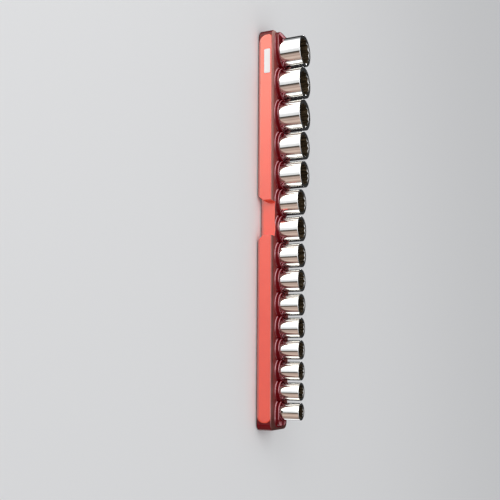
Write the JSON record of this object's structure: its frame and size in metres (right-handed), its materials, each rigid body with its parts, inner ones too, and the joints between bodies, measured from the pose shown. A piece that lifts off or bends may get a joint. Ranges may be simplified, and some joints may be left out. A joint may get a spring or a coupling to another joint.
{
  "type": "magnetic socket tray",
  "caption": "Long tapered magnetic tray with round collars that hold a graded row of chrome sockets, mouths outward, with finger notches and a blank label.",
  "frame": {"origin": "middle of the tray's footprint, on the back face that lies against the steel surface", "axes": "+X along the row from the largest socket to the smallest, +Y away from the long side with the label, +Z out of the tray, the way the sockets lift"},
  "size_m": [0.5382, 0.0714, 0.0554],
  "materials": {
    "tray_plastic": "red, smooth moulded",
    "rear_rubber": "black, matt",
    "plate_plastic": "black, satin",
    "label_white": "plain white, satin",
    "socket_chrome": "polished",
    "magnet_nickel": "nickel plated",
    "screw_steel": "zinc plated"
  },
  "bodies": {
    "tray": {"tray_body": "tray_plastic", "base_plate": "plate_plastic", "rear_pad": "rear_rubber", "label_plate": "label_white", "pocket_magnet_01": "magnet_nickel", "pocket_magnet_02": "magnet_nickel", "pocket_magnet_03": "magnet_nickel", "pocket_magnet_04": "magnet_nickel", "pocket_magnet_05": "magnet_nickel", "pocket_magnet_06": "magnet_nickel", "pocket_magnet_07": "magnet_nickel", "pocket_magnet_08": "magnet_nickel", "pocket_magnet_09": "magnet_nickel", "pocket_magnet_10": "magnet_nickel", "pocket_magnet_11": "magnet_nickel", "pocket_magnet_12": "magnet_nickel", "pocket_magnet_13": "magnet_nickel", "pocket_magnet_14": "magnet_nickel", "pocket_magnet_15": "magnet_nickel", "mount_magnet_1": "magnet_nickel", "mount_magnet_2": "magnet_nickel", "mount_magnet_3": "magnet_nickel", "mount_magnet_4": "magnet_nickel", "base_screw_1": "screw_steel", "base_screw_2": "screw_steel", "base_screw_3": "screw_steel", "base_screw_4": "screw_steel", "base_screw_5": "screw_steel", "base_screw_6": "screw_steel", "base_screw_7": "screw_steel", "base_screw_8": "screw_steel"},
    "socket_01": {"socket_01": "socket_chrome"},
    "socket_02": {"socket_02": "socket_chrome"},
    "socket_03": {"socket_03": "socket_chrome"},
    "socket_04": {"socket_04": "socket_chrome"},
    "socket_05": {"socket_05": "socket_chrome"},
    "socket_06": {"socket_06": "socket_chrome"},
    "socket_07": {"socket_07": "socket_chrome"},
    "socket_08": {"socket_08": "socket_chrome"},
    "socket_09": {"socket_09": "socket_chrome"},
    "socket_10": {"socket_10": "socket_chrome"},
    "socket_11": {"socket_11": "socket_chrome"},
    "socket_12": {"socket_12": "socket_chrome"},
    "socket_13": {"socket_13": "socket_chrome"},
    "socket_14": {"socket_14": "socket_chrome"},
    "socket_15": {"socket_15": "socket_chrome"}
  },
  "joints": [
    {"name": "socket_01_lift", "type": "slide", "parent": "tray", "child": "socket_01", "axis": [0, 0, 1], "range_m": [0, 0.06]},
    {"name": "socket_02_lift", "type": "slide", "parent": "tray", "child": "socket_02", "axis": [0, 0, 1], "range_m": [0, 0.06]},
    {"name": "socket_03_lift", "type": "slide", "parent": "tray", "child": "socket_03", "axis": [0, 0, 1], "range_m": [0, 0.06]},
    {"name": "socket_04_lift", "type": "slide", "parent": "tray", "child": "socket_04", "axis": [0, 0, 1], "range_m": [0, 0.06]},
    {"name": "socket_05_lift", "type": "slide", "parent": "tray", "child": "socket_05", "axis": [0, 0, 1], "range_m": [0, 0.06]},
    {"name": "socket_06_lift", "type": "slide", "parent": "tray", "child": "socket_06", "axis": [0, 0, 1], "range_m": [0, 0.06]},
    {"name": "socket_07_lift", "type": "slide", "parent": "tray", "child": "socket_07", "axis": [0, 0, 1], "range_m": [0, 0.06]},
    {"name": "socket_08_lift", "type": "slide", "parent": "tray", "child": "socket_08", "axis": [0, 0, 1], "range_m": [0, 0.06]},
    {"name": "socket_09_lift", "type": "slide", "parent": "tray", "child": "socket_09", "axis": [0, 0, 1], "range_m": [0, 0.06]},
    {"name": "socket_10_lift", "type": "slide", "parent": "tray", "child": "socket_10", "axis": [0, 0, 1], "range_m": [0, 0.06]},
    {"name": "socket_11_lift", "type": "slide", "parent": "tray", "child": "socket_11", "axis": [0, 0, 1], "range_m": [0, 0.06]},
    {"name": "socket_12_lift", "type": "slide", "parent": "tray", "child": "socket_12", "axis": [0, 0, 1], "range_m": [0, 0.06]},
    {"name": "socket_13_lift", "type": "slide", "parent": "tray", "child": "socket_13", "axis": [0, 0, 1], "range_m": [0, 0.06]},
    {"name": "socket_14_lift", "type": "slide", "parent": "tray", "child": "socket_14", "axis": [0, 0, 1], "range_m": [0, 0.06]},
    {"name": "socket_15_lift", "type": "slide", "parent": "tray", "child": "socket_15", "axis": [0, 0, 1], "range_m": [0, 0.06]}
  ]
}
